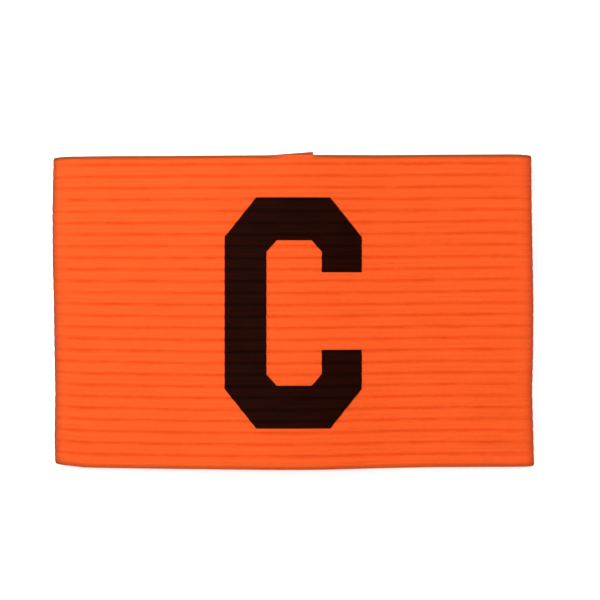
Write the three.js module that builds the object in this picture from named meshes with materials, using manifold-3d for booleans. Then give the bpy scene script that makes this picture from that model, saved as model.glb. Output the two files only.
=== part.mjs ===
// A captain's armband: a strip of ribbed elastic webbing, wrapped into a loop and closed at the back with
// hook-and-loop tape, with a block letter C pressed on its front. It lies flat, letter up, as when taken off.
// Units are millimetres. X runs along the ribs, Y across them towards the letter's top, and Z is up.
// The origin is on the surface that it lies on, under the middle of its outline.

import * as THREE from "three";
import { mergeVertices } from "three/addons/utils/BufferGeometryUtils.js";
import Module from "manifold-3d";

// Elastic webbing
const WALL = 1.4; // thickness over the ribs
const BAND_HEIGHT = 90; // nominal width of the webbing, across the ribs
const RIB_PITCH = 3.34;
const GROOVE_COUNT = 26;
const GROOVE_WIDTH = 0.8;
const GROOVE_DEPTH = 0.3;
const TOP_RIB = 2.7; // from the upper selvedge to the first groove
const SELVEDGE = 0.4; // rounding of the two long edges

// The loop, pressed flat
const HALF_WIDTH = 69.3; // from the middle to the outermost line of either fold
const FOLD_RADIUS = 4.2; // outer radius of the folds
const ARCH_RISE = 3.4; // the front stands this much higher over the closure than at the folds
const ARCH_LEFT = -50;
const ARCH_TOP = -2;
const ARCH_RIGHT = 32;
const EASE = 0.42; // length of a bend's handles, as a share of its run

// The closure at the back: the outer end lies lowest, then the tape, then the inner end
const TAPE_LENGTH = 40;
const TAPE_HEIGHT = 80;
const TAPE_THICKNESS = 2;
const TAPE_CORNER = 2;
const TAPE_INSET = 3; // from the outer end's edge
const PRESS_GAP = 0.1; // between faces that are pressed together
const OUTER_END = 6;
const INNER_END = -41;
const RAMP_FOOT = 24; // where the webbing starts to climb over the outer end
const RAMP_HEAD = 9.5;

// The letter
const LETTER_WIDTH = 39.4;
const LETTER_HEIGHT = 66.4;
const LETTER_AT = { x: 0.15, y: -0.3 };
const LETTER_THICKNESS = 0.3;
const STEM = 12; // width of the upright stroke
const BAR = 12.3; // height of the level strokes
const ARM = 11.5; // width of the two short arms
const UPPER_ARM = 21.5; // from the letter's top to the end of the upper arm
const LOWER_ARM = 22.6;
const OUTER_CHAMFER = { x: 9.1, y: 11.5 };
const INNER_CHAMFER = { x: 3.2, y: 3.3 };

// Upper and lower selvedge along each lying stretch, a row for each section
const OUTER_EDGES = [
  { x: OUTER_END, upper: 46.5, lower: -43.5 },
  { x: -4, upper: 45.8, lower: -44.2 },
  { x: -12, upper: 45.3, lower: -44.6 },
  { x: -40, upper: 44.9, lower: -44.9 },
  { x: -HALF_WIDTH, upper: 44.5, lower: -43.8 },
];
const FRONT_EDGES = [
  { x: -HALF_WIDTH, upper: 44.5, lower: -43.8 },
  { x: -65, upper: 44.7, lower: -44.3 },
  { x: -60, upper: 44.8, lower: -44.8 },
  { x: -50, upper: 44.9, lower: -45 },
  { x: -36, upper: 44.9, lower: -45.2 },
  { x: -4, upper: 44.95, lower: -45.35 },
  { x: 9, upper: 45.1, lower: -45.25 },
  { x: 25, upper: 45.15, lower: -44.95 },
  { x: 41, upper: 45.3, lower: -44.7 },
  { x: 65, upper: 45.4, lower: -44.6 },
  { x: HALF_WIDTH, upper: 44.8, lower: -44.5 },
];
const INNER_EDGES = [
  { x: HALF_WIDTH, upper: 44.8, lower: -44.5 },
  { x: RAMP_FOOT, upper: 45, lower: -44.8 },
  { x: INNER_END, upper: 45, lower: -45 },
];

// How far each fold's outermost line wanders outwards from HALF_WIDTH, a row for each stretch of its height
const FOLD_LINES = [
  { y: -45, left: -0.7, right: 0.5 },
  { y: -37, left: -0.45, right: 0.3 },
  { y: -23, left: -0.6, right: 0 },
  { y: -12, left: -0.45, right: 0.3 },
  { y: 2, left: -0.2, right: 0.4 },
  { y: 15, left: 0.1, right: 0.1 },
  { y: 29, left: 0.2, right: -0.2 },
  { y: 45, left: -0.2, right: -0.25 },
];
const WANDER_START = 35; // the wander fades out between the folds and this distance from the middle

// Heights of the wall's middle, worked out from the sizes above
const FOLD_X = HALF_WIDTH - FOLD_RADIUS;
const FOLD_MIDDLE = FOLD_RADIUS - WALL / 2;
const FLOOR_Z = WALL / 2;
const FRONT_Z = FLOOR_Z + 2 * FOLD_MIDDLE;
const ARCH_Z = FRONT_Z + ARCH_RISE;
const STACKED_Z = FLOOR_Z + WALL + TAPE_THICKNESS + 2 * PRESS_GAP;

const wasm = await Module();
wasm.setup();

const vector2 = (x, y) => new THREE.Vector2(x, y);

// The value of one column of a table at a place between its rows.
function fromTable(rows, key, at, column) {
  const up = rows[0][key] < rows[rows.length - 1][key] ? rows : [...rows].reverse();
  const place = THREE.MathUtils.clamp(at, up[0][key], up[up.length - 1][key]);
  const next = Math.max(1, up.findIndex((row) => row[key] >= place));
  const [a, b] = [up[next - 1], up[next]];
  return THREE.MathUtils.mapLinear(place, a[key], b[key], a[column], b[column]);
}

// A smooth bend between two level stretches.
function bend(x0, z0, x1, z1) {
  const reach = EASE * (x1 - x0);
  return new THREE.CubicBezierCurve(
    vector2(x0, z0),
    vector2(x0 + reach, z0),
    vector2(x1 - reach, z1),
    vector2(x1, z1),
  );
}

const level = (x0, x1, z) => new THREE.LineCurve(vector2(x0, z), vector2(x1, z));

// A half turn, clockwise: up round the left fold and down round the right one.
function fold(side) {
  const start = side < 0 ? -Math.PI / 2 : Math.PI / 2;
  return new THREE.EllipseCurve(
    side * FOLD_X,
    FLOOR_Z + FOLD_MIDDLE,
    FOLD_MIDDLE,
    FOLD_MIDDLE,
    start,
    start - Math.PI,
    true,
  );
}

// The route of the wall's middle in the X-Z plane, from the outer end round the loop to the inner end.
const ROUTE = [
  { curve: level(OUTER_END, -FOLD_X, FLOOR_Z), steps: 6, edges: OUTER_EDGES },
  { curve: fold(-1), steps: 7, edges: FRONT_EDGES },
  { curve: level(-FOLD_X, ARCH_LEFT, FRONT_Z), steps: 2, edges: FRONT_EDGES },
  { curve: bend(ARCH_LEFT, FRONT_Z, ARCH_TOP, ARCH_Z), steps: 6, edges: FRONT_EDGES },
  { curve: bend(ARCH_TOP, ARCH_Z, ARCH_RIGHT, FRONT_Z), steps: 5, edges: FRONT_EDGES },
  { curve: level(ARCH_RIGHT, FOLD_X, FRONT_Z), steps: 2, edges: FRONT_EDGES },
  { curve: fold(1), steps: 7, edges: FRONT_EDGES },
  { curve: level(FOLD_X, RAMP_FOOT, FLOOR_Z), steps: 2, edges: INNER_EDGES },
  { curve: bend(RAMP_FOOT, FLOOR_Z, RAMP_HEAD, STACKED_Z), steps: 5, edges: INNER_EDGES },
  { curve: level(RAMP_HEAD, INNER_END, STACKED_Z), steps: 3, edges: INNER_EDGES },
];
const FRONT_ROUTE = ROUTE.slice(2, 6);

// Stations along a route: where the wall's middle is, which way is out of the loop, and the selvedges.
function stations(route) {
  return route.flatMap(({ curve, steps, edges }, index) => {
    const found = [];
    for (let i = index === 0 ? 0 : 1; i <= steps; i += 1) {
      const at = curve.getPoint(i / steps);
      const along = curve.getTangent(i / steps);
      found.push({
        x: at.x,
        z: at.y,
        outX: -along.y,
        outZ: along.x,
        upper: fromTable(edges, "x", at.x, "upper"),
        lower: fromTable(edges, "x", at.x, "lower"),
      });
    }
    return found;
  });
}

// Where a point of the webbing lies: height is across the ribs, out is measured from the wall's middle.
function placed(station, height, out) {
  const y = THREE.MathUtils.mapLinear(
    height,
    -BAND_HEIGHT / 2,
    BAND_HEIGHT / 2,
    station.lower,
    station.upper,
  );
  const side = Math.sign(station.x);
  const share = THREE.MathUtils.smoothstep(Math.abs(station.x), WANDER_START, FOLD_X);
  const wander = fromTable(FOLD_LINES, "y", y, side < 0 ? "left" : "right");
  return new THREE.Vector3(
    station.x + out * station.outX + side * share * wander,
    y,
    station.z + out * station.outZ,
  );
}

// A closed body lofted through a section of [height, out] points, counterclockwise with height to the right.
function lofted(route, section) {
  const rings = stations(route).map((station) =>
    section.map(([height, out]) => placed(station, height, out)),
  );
  const count = section.length;
  const faces = [];
  for (let ring = 0; ring + 1 < rings.length; ring += 1) {
    for (let i = 0; i < count; i += 1) {
      const a = ring * count + i;
      const b = ring * count + ((i + 1) % count);
      faces.push(a, b, b + count, a, b + count, a + count);
    }
  }
  const last = (rings.length - 1) * count;
  const contour = section.map(([height, out]) => vector2(height, out));
  for (const [a, b, c] of THREE.ShapeUtils.triangulateShape(contour, [])) {
    faces.push(a, c, b, last + a, last + b, last + c);
  }
  const geometry = new THREE.BufferGeometry().setFromPoints(rings.flat());
  geometry.setIndex(faces);
  geometry.computeVertexNormals();
  return geometry;
}

// The webbing's section: a plain inner side, rounded selvedges, and ribs parted by V grooves outside.
function webbingSection() {
  const half = BAND_HEIGHT / 2;
  const out = WALL / 2;
  const section = [
    [-half + SELVEDGE, -out],
    [half - SELVEDGE, -out],
    [half, -out + SELVEDGE],
    [half, out - SELVEDGE],
    [half - SELVEDGE, out],
  ];
  for (let i = 0; i < GROOVE_COUNT; i += 1) {
    const middle = half - TOP_RIB - i * RIB_PITCH;
    section.push([middle + GROOVE_WIDTH / 2, out]);
    section.push([middle, out - GROOVE_DEPTH]);
    section.push([middle - GROOVE_WIDTH / 2, out]);
  }
  section.push([-half + SELVEDGE, out]);
  section.push([-half, out - SELVEDGE]);
  section.push([-half, -out + SELVEDGE]);
  return section;
}

// The block letter's outline, as a thin upright column that is then cut to the front's curve.
function letterShape() {
  const [left, right] = [LETTER_AT.x - LETTER_WIDTH / 2, LETTER_AT.x + LETTER_WIDTH / 2];
  const [bottom, top] = [LETTER_AT.y - LETTER_HEIGHT / 2, LETTER_AT.y + LETTER_HEIGHT / 2];
  const [inLeft, inRight] = [left + STEM, right - ARM];
  const [inBottom, inTop] = [bottom + BAR, top - BAR];
  return new THREE.Shape([
    vector2(left, bottom + OUTER_CHAMFER.y),
    vector2(left + OUTER_CHAMFER.x, bottom),
    vector2(right - OUTER_CHAMFER.x, bottom),
    vector2(right, bottom + OUTER_CHAMFER.y),
    vector2(right, bottom + LOWER_ARM),
    vector2(inRight, bottom + LOWER_ARM),
    vector2(inRight, inBottom + INNER_CHAMFER.y),
    vector2(inRight - INNER_CHAMFER.x, inBottom),
    vector2(inLeft + INNER_CHAMFER.x, inBottom),
    vector2(inLeft, inBottom + INNER_CHAMFER.y),
    vector2(inLeft, inTop - INNER_CHAMFER.y),
    vector2(inLeft + INNER_CHAMFER.x, inTop),
    vector2(inRight - INNER_CHAMFER.x, inTop),
    vector2(inRight, inTop - INNER_CHAMFER.y),
    vector2(inRight, top - UPPER_ARM),
    vector2(right, top - UPPER_ARM),
    vector2(right, top - OUTER_CHAMFER.y),
    vector2(right - OUTER_CHAMFER.x, top),
    vector2(left + OUTER_CHAMFER.x, top),
    vector2(left, top - OUTER_CHAMFER.y),
  ]);
}

// A geometry as a manifold-3d solid, with its shared corners merged.
function solidOf(geometry) {
  const bare = geometry.clone();
  bare.deleteAttribute("normal");
  bare.deleteAttribute("uv");
  const merged = mergeVertices(bare);
  return new wasm.Manifold(
    new wasm.Mesh({
      numProp: 3,
      vertProperties: merged.attributes.position.array,
      triVerts: new Uint32Array(merged.index.array),
    }),
  );
}

function geometryOf(solid) {
  const mesh = solid.getMesh();
  const geometry = new THREE.BufferGeometry();
  geometry.setAttribute("position", new THREE.BufferAttribute(mesh.vertProperties, 3));
  geometry.setIndex(new THREE.BufferAttribute(mesh.triVerts, 1));
  geometry.computeVertexNormals();
  return geometry;
}

// The letter: a film of even thickness just over the ribs, cut out of a curved slab by the letter's column.
function letterGeometry() {
  const low = WALL / 2 + PRESS_GAP;
  const reach = LETTER_HEIGHT / 2 + BAR;
  const slab = lofted(FRONT_ROUTE, [
    [-reach, low],
    [reach, low],
    [reach, low + LETTER_THICKNESS],
    [-reach, low + LETTER_THICKNESS],
  ]);
  const column = new THREE.ExtrudeGeometry(letterShape(), { depth: 2 * ARCH_Z, bevelEnabled: false });
  return geometryOf(solidOf(slab).intersect(solidOf(column)));
}

// The fastened hook-and-loop tape, one plain pad with rounded corners.
function tapeGeometry() {
  const right = OUTER_END - TAPE_INSET;
  const left = right - TAPE_LENGTH;
  const [bottom, top] = [-TAPE_HEIGHT / 2, TAPE_HEIGHT / 2];
  const shape = new THREE.Shape();
  shape.absarc(right - TAPE_CORNER, top - TAPE_CORNER, TAPE_CORNER, 0, Math.PI / 2);
  shape.absarc(left + TAPE_CORNER, top - TAPE_CORNER, TAPE_CORNER, Math.PI / 2, Math.PI);
  shape.absarc(left + TAPE_CORNER, bottom + TAPE_CORNER, TAPE_CORNER, Math.PI, 1.5 * Math.PI);
  shape.absarc(right - TAPE_CORNER, bottom + TAPE_CORNER, TAPE_CORNER, 1.5 * Math.PI, 2 * Math.PI);
  return new THREE.ExtrudeGeometry(shape, {
    depth: TAPE_THICKNESS,
    bevelEnabled: false,
    curveSegments: 3,
  });
}

function piece(name, geometry, color, roughness) {
  const material = new THREE.MeshStandardMaterial({ color, roughness, metalness: 0 });
  const mesh = new THREE.Mesh(geometry, material);
  mesh.name = name;
  return mesh;
}

const elasticBand = piece("elastic_band", lofted(ROUTE, webbingSection()), 0xfa5f28, 0.85);
const letter = piece("letter_c", letterGeometry(), 0x210d07, 0.9);
const closureTape = piece("closure_tape", tapeGeometry(), 0x1d1c1e, 1);
closureTape.position.z = WALL + PRESS_GAP;

const armband = new THREE.Group();
armband.add(elasticBand, letter, closureTape);

// The tables above run from the middle between the folds, so the outline is centred here.
const outline = new THREE.Box3().setFromObject(armband);
const middle = outline.getCenter(new THREE.Vector3());
armband.position.set(-middle.x, -middle.y, -outline.min.z);

export default armband;
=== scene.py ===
"""A captain's armband, lying flat as when taken off: ribbed elastic webbing in a pressed loop, a block
letter pressed on its front, and the hook-and-loop tapes and seams that close it behind. Units are metres.
X runs along the ribs, Y across them towards the letter's top, and Z is up, out of the front."""

import math

import bpy
import numpy as np
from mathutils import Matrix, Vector


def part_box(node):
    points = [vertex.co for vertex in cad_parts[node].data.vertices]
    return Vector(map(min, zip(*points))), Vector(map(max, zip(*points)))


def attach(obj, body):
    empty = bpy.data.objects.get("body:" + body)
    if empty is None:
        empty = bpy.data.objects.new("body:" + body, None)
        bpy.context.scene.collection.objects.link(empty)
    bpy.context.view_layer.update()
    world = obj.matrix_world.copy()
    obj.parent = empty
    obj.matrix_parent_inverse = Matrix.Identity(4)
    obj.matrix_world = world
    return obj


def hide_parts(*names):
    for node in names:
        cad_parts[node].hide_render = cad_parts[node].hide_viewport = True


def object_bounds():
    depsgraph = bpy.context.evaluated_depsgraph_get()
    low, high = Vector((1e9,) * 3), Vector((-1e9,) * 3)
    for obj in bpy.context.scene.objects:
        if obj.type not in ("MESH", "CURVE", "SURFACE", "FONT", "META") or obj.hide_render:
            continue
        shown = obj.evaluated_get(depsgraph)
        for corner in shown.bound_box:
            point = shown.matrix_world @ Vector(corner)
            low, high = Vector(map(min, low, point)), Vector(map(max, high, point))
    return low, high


bl_info = {
    "name": "Captain's armband",
    "version": (1, 0, 0),
    "blender": (4, 5, 0),
    "location": "View3D > Sidebar > Armband",
    "description": "Makes a captain's armband of ribbed elastic webbing around its packed frame",
    "category": "Add Mesh",
}

MM = 0.001
BODY = "root"

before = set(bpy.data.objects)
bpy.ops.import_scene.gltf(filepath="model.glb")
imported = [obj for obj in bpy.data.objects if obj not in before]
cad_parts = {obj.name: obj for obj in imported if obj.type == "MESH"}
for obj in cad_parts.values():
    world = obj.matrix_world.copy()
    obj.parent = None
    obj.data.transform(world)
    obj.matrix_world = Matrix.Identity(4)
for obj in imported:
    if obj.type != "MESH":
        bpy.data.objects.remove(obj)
CAD_LOW, CAD_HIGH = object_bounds()
TAPE_LOW, TAPE_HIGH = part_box("closure_tape")


def table(names, *rows):
    """A table's columns by name, in metres, from its rows in millimetres."""
    return {name: np.array(values) * MM for name, values in zip(names.split(), zip(*rows))}


# Route of the pressed loop, measured from the middle between its folds
HALF_WIDTH = 69.3 * MM
FOLD_RADIUS = 4.2 * MM
ARCH_RISE = 3.4 * MM
ARCH_LEFT = -50 * MM
ARCH_TOP = -2 * MM
ARCH_RIGHT = 32 * MM
EASE = 0.42  # length of a bend's handles, as a share of its run
FOLD_SQUARENESS = 2.7  # exponent of a fold's curve: 2 is a circle, more is flatter with a tighter turn
OUTER_END = 6 * MM
INNER_END = -41 * MM
RAMP_FOOT = 24 * MM
RAMP_HEAD = 9.5 * MM
TAPE_SETBACK = 3 * MM  # from the outer end to the tape
ROUTE_STEP = 0.15 * MM  # spacing of the points that the route is drawn with
EDGE_EASING = 5 * MM  # length over which a selvedge rounds off the corners of its table

# Upper and lower selvedge along each lying stretch
OUTER_EDGES = table(
    "x upper lower",
    (-69.3, 44.6, -43.9),
    (-40, 45, -45),
    (-12, 45.3, -44.7),
    (-4, 45.8, -44.3),
    (6, 46.6, -43.6),
)
FRONT_EDGES = table(
    "x upper lower",
    (-69.3, 44.45, -43.88),
    (-65, 44.85, -44.4),
    (-60, 44.9, -44.95),
    (-50, 45, -45.1),
    (-36, 45, -45.25),
    (-4, 45.05, -45.4),
    (9, 45.2, -45.4),
    (25, 45.25, -45.1),
    (41, 45.4, -44.8),
    (65, 45.5, -44.7),
    (69.3, 45.2, -44.6),
)
INNER_EDGES = table("x upper lower", (-41, 45, -45), (24, 45, -44.8), (69.3, 44.9, -44.6))

# How far each fold's outermost line wanders outwards, up its height
FOLD_LINES = table(
    "y left right",
    (-45, -0.5, 0.6),
    (-37, -0.25, 0.4),
    (-23, -0.45, 0),
    (-12, -0.22, 0.3),
    (2, -0.05, 0.4),
    (15, 0.3, 0.18),
    (29, 0.38, -0.1),
    (45, 0.05, -0.2),
)
WANDER_START = 35 * MM  # from the middle, where a fold's wander begins to show

# How the ribs have drifted across the webbing along X: all up, and apart from the middle
RIB_DRIFT = table(
    "x up apart",
    (-60, -0.05, 0),
    (-50, -0.05, -0.02),
    (-31, -0.15, 0.14),
    (0, -0.12, 0.04),
    (32, -0.1, -0.1),
    (60, 0, 0.03),
)

# The ribs' shallow waves: share of the height, one turn of phase along and across, and the start
RIB_WAVES = ((1, 31 * MM, 17 * MM, 0), (0.6, 13 * MM, -9 * MM, 2))
WAVE_HEIGHT = 0.035 * MM

# The webbing's section: where the points of an outer and an inner rib lie, as shares of its width
OUTER_SHARES = (0, 0.06, 0.13, 0.24, 0.38, 0.5, 0.62, 0.76, 0.87, 0.94)
INNER_SHARES = (0, 0.1, 0.3, 0.7, 0.9)
INNER_DEPTH = 0.7  # of the outer ribs' depth, inside the loop
SELVEDGE_RIM = 0.5 * MM  # the selvedge is rounded over this much of the width
SELVEDGE_WALL = 0.92  # of the wall, at the selvedge
FLATTENED = 0.7  # share of the ribs' depth that a fold stretches out

# Spacing of the webbing's sections along its route
LYING_STEP = 3.2 * MM
SLOPING_STEP = 1.6 * MM
FOLD_STEP = 0.62 * MM
SEAM_STEP = 0.5 * MM
END_STEP = 0.15 * MM
END_REACH = 0.6 * MM  # the closest sections are this near to a cut end
SEWN_REACH = 50 * MM  # both seams are this near to their end
SINGED_REACH = 0.45 * MM  # singeing rounds a cut end over this length
SINGED_ROUND = 0.7  # and by this much: 0 leaves it square, and 1 brings it to an edge

# Painted shade on the folds' outermost lines, left and right: how far round the fold it reaches, and how
# dark it is
FOLD_SHADE_REACH = np.array([2.9, 2.1]) * MM
FOLD_SHADE_DEPTH = np.array([1, 0.95])

# The front's upper selvedge is pale between these, before the slip of the back layer that shows behind it:
# its painted dark outline is left out there
PALE_LEFT = -6 * MM
PALE_RIGHT = 7 * MM
PALE_RISE = 3 * MM
PALE_FALL = 1.5 * MM
# The painted dark outline of the lower selvedge is fainter than the upper one's
LOWER_EDGE_SHADE = 0.5  # darkness of the lower selvedge, as a share of the upper one's

# The letter's grid, and how its film lies on the ribs
LETTER_MARGIN = 1 * MM
LETTER_COLUMNS = 44
FILM_SINKS = 0.6  # into the grooves, as a share of their depth
FILM_DRAWN = 0.1 * MM  # sideways along a groove

# The closure's hooks, pile and stitches
HOOK_INSET = 1 * MM
HOOK_TURN = math.radians(200)
PILE_INSET = 0.6 * MM
PILE_GRID = (48, 96)
PILE_HEIGHTS = (0.55, 1.3)  # lowest and highest, as shares of the pile's height
PILE_JITTER = 0.25 * MM
STITCH_BOW = 0.95  # radius of a stitch's bow, as a share of its length
STITCH_SPAN = 0.86  # what shows of a stitch, as a share of its length

SHARP = math.radians(50)  # corners sharper than this stay sharp in the smooth shading

# Edit-mode steps that close the open ends of a piece, and that turn all its faces outwards
CLOSE_ENDS = (
    (bpy.ops.mesh.select_all, {"action": "DESELECT"}),
    (bpy.ops.mesh.select_non_manifold, {}),
    (bpy.ops.mesh.edge_face_add, {}),
)
OUTWARDS = (
    (bpy.ops.mesh.select_all, {"action": "SELECT"}),
    (bpy.ops.mesh.normals_make_consistent, {"inside": False}),
)

# The stage, in metres: the floor's sweep is the growth and the rise of each step
FLOOR_RADIUS = 3
FLOOR_SWEEP = ((1.12, 0.06), (1.1, 0.18), (1.08, 0.3), (1.05, 0.4), (1.02, 0.5))
KEY_FROM = (-0.03, 0.04, 1)
KEY_ANGLE = math.radians(12)
NEAR_FROM = (-0.16, 0.13, 0.32)
NEAR_SIZE = 0.2
NEAR_TINT = (0.5, 0.85, 1)  # faintly cool: it gives the left its slightly paler orange
LENS = 164.8  # in millimetres, as is the sensor
SENSOR = 36


def linear(code):
    """An sRGB colour such as "#fa5f28" as linear red, green, blue and alpha."""
    channels = [int(code[i : i + 2], 16) / 255 for i in (1, 3, 5)]
    return (*[c / 12.92 if c <= 0.04045 else ((c + 0.055) / 1.055) ** 2.4 for c in channels], 1)


def length(name, description, default):
    """A length that a user would change, in metres."""
    return bpy.props.FloatProperty(
        name=name, description=description, default=default, unit="LENGTH", precision=5
    )


def strength(name, description, default, **values):
    """A plain number that a user would change, 0 or more."""
    return bpy.props.FloatProperty(name=name, description=description, default=default, min=0, **values)


def colour(name, description, code):
    """A colour that a user would change, from its sRGB code."""
    return bpy.props.FloatVectorProperty(
        name=name, description=description, default=linear(code), size=4, subtype="COLOR", min=0, max=1
    )


class WebbingSettings(bpy.types.PropertyGroup):
    """Sizes and colours of the ribbed elastic webbing."""

    wall: length("Wall", "Thickness over the ribs", 1.4 * MM)
    width: length("Width", "Width across the ribs", 90 * MM)
    rib_pitch: length("Rib pitch", "Distance between the grooves", 3.34 * MM)
    top_rib: length("Top rib", "From the upper selvedge to the first groove", 2.7 * MM)
    grooves: bpy.props.IntProperty(
        name="Grooves", description="Number of grooves between the ribs", default=26, min=1
    )
    groove_depth: length("Groove depth", "Depth of the grooves between ribs", 0.24 * MM)
    groove_reach: length("Groove reach", "Half width of a groove", 0.48 * MM)
    crest_rise: length("Crest rise", "How much a rib's middle stands over its flanks", 0.05 * MM)
    split_depth: length("Split depth", "Depth of the fine line along each rib's middle", 0.06 * MM)
    split_reach: length("Split reach", "Half width of the fine line", 0.22 * MM)
    pick_pitch: length("Pick pitch", "Distance between the weft picks", 0.62 * MM)
    yarn_size: length("Yarn", "Width of one yarn on the rib face, eight to a rib", 0.4175 * MM)
    # How strong the painted shade on the folds' outermost lines is
    fold_shade_strength: strength(
        "Crease wear", "How far the folds' outermost lines are rubbed dark", 1, max=1, subtype="FACTOR"
    )
    yarn: colour("Yarn colour", "Dyed polyester yarn of the ribs", "#e04c19")
    # The groove colour is painted shade in the grooves between the ribs
    groove: colour("Groove colour", "Yarn between the ribs, drawn tight over the rubber", "#d43d0b")
    # The selvedge colour is the painted dark outline along the selvedges, and the real darkening of the
    # singed ends
    selvedge: colour("Selvedge colour", "Tight edge yarns, and the singed ends", "#a03e11")
    # Colour of the painted shade on the folds' outermost lines
    fold_shade: colour("Crease colour", "Yarns rubbed along a fold's outermost line", "#5c230b")


class LetterSettings(bpy.types.PropertyGroup):
    """Sizes and colour of the pressed block letter."""

    width: length("Width", "Width of the letter", 39.4 * MM)
    height: length("Height", "Height of the letter", 66.4 * MM)
    across: length("Across", "Letter's middle to the right of the loop's middle", 0.15 * MM)
    up: length("Up", "Letter's middle above the loop's middle", -0.3 * MM)
    stem: length("Stem", "Width of the upright stroke", 12 * MM)
    bar: length("Bar", "Height of the level strokes", 12.3 * MM)
    arm: length("Arm", "Width of the two short arms", 11.5 * MM)
    upper_arm: length("Upper arm", "From the letter's top to the end of the upper arm", 21.5 * MM)
    lower_arm: length("Lower arm", "From the letter's foot to the end of the lower arm", 22.6 * MM)
    outer_chamfer_x: length("Outer chamfer, X", "Cut of the outer corners along X", 9.1 * MM)
    outer_chamfer_y: length("Outer chamfer, Y", "Cut of the outer corners along Y", 11.35 * MM)
    inner_chamfer_x: length("Inner chamfer, X", "Cut of the inner corners along X", 2.95 * MM)
    inner_chamfer_y: length("Inner chamfer, Y", "Cut of the inner corners along Y", 3.3 * MM)
    film: length("Film", "Thickness of the film", 0.2 * MM)
    lift: length("Lift", "Clearance of the film over the rib crests", 0.05 * MM)
    ink: colour("Film colour", "Warm black film", "#190300")


class ClosureSettings(bpy.types.PropertyGroup):
    """Sizes and colours of the hook-and-loop tapes and of the seams."""

    ground: length("Ground", "Thickness of each tape's woven ground", 0.5 * MM)
    corner: length("Corner", "Radius of the tapes' corners", 2 * MM)
    hook_pitch: length("Hook pitch", "Distance between hooks", 1.6 * MM)
    hook_wire: length("Hook wire", "Diameter of a hook's monofilament", 0.2 * MM)
    hook_crook: length("Hook crook", "Radius of a hook's bend", 0.2 * MM)
    pile: length("Pile", "Height of the pressed loops over their ground", 0.5 * MM)
    seam_inset: length("Seam inset", "From a tape's edge to its seam", 2.5 * MM)
    stitch: length("Stitch", "Length of one stitch", 2.9 * MM)
    thread: length("Thread", "Diameter of the sewing thread", 0.4 * MM)
    seam_depth: length("Seam depth", "How deep a seam pulls the webbing in", 0.42 * MM)
    seam_reach: length("Seam reach", "Half width of the pulled-in channel", 1.1 * MM)
    nylon: colour("Nylon colour", "Black dyed nylon tape", "#18171a")
    thread_colour: colour("Thread colour", "Polyester thread dyed like the webbing", "#cc3e10")


class StageSettings(bpy.types.PropertyGroup):
    """The camera, the floor and the lights."""

    camera_height: length("Camera height", "Camera above the floor", 800 * MM)
    camera_x: length("Camera X", "Camera to the right of the loop's middle", 2.08 * MM)
    camera_y: length("Camera Y", "Camera above the loop's middle, as the letter is read", 3.42 * MM)
    key: strength("Key light", "Strength of the soft light from nearly overhead", 2.42)
    near: strength("Near light", "Power of the soft light close over the left end", 1.6, unit="POWER")
    fill: strength("Fill light", "Strength of the even light from all round", 0.32)
    floor: colour("Floor colour", "Plain pale floor", "#fafafa")


def settings(name):
    """One group of the scene's settings."""
    return getattr(bpy.context.scene, "armband_" + name)


def origin_shift():
    """From the loop's middle to the frame's origin, read off the tape, which has a known place on both."""
    half_tape = (TAPE_HIGH.x - TAPE_LOW.x) / 2
    tape_middle = Vector((OUTER_END - TAPE_SETBACK - half_tape, 0, TAPE_LOW.z))
    return Vector(((TAPE_LOW.x + TAPE_HIGH.x) / 2, (TAPE_LOW.y + TAPE_HIGH.y) / 2, TAPE_LOW.z)) - tape_middle


def smooth_step(value, start, reach):
    """A smooth rise from 0 at a start to 1 after a reach."""
    share = np.clip((value - start) / reach, 0, 1)
    return share * share * (3 - 2 * share)


def bend(x0, z0, x1, z1):
    """Points of a smooth bend between two level stretches."""
    t = np.linspace(0, 1, 2 + int(abs(x1 - x0) / ROUTE_STEP))
    reach = EASE * (x1 - x0)
    weights = ((1 - t) ** 3, 3 * t * (1 - t) ** 2, 3 * t * t * (1 - t), t**3)
    x = sum(w * p for w, p in zip(weights, (x0, x0 + reach, x1 - reach, x1)))
    z = sum(w * p for w, p in zip(weights, (z0, z0, z1, z1)))
    return x, z


def level(x0, x1, z):
    """Points of a level stretch."""
    x = np.linspace(x0, x1, 2 + int(abs(x1 - x0) / ROUTE_STEP))
    return x, np.full_like(x, z)


def fold(side, radius, low):
    """Points of a half turn, clockwise: up round the left fold and down round the right one."""
    start = -math.pi / 2 if side < 0 else math.pi / 2
    turn = np.linspace(start, start - math.pi, 2 + int(math.pi * radius / ROUTE_STEP))
    middle = side * (HALF_WIDTH - FOLD_RADIUS)
    across, up = np.cos(turn), np.sin(turn)
    power = FOLD_SQUARENESS
    size = radius / (np.abs(across) ** power + np.abs(up) ** power) ** (1 / power)
    return middle + size * across, low + radius + size * up


def eased(values, lengths, reach):
    """The values, averaged over the neighbours within reach along the route."""
    half = max(1, int(reach / (lengths[-1] / len(lengths)) / 2))
    padded = np.concatenate([np.full(half, values[0]), values, np.full(half, values[-1])])
    weights = np.hanning(2 * half + 3)[1:-1]
    return np.convolve(padded, weights / weights.sum(), "valid")


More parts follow.
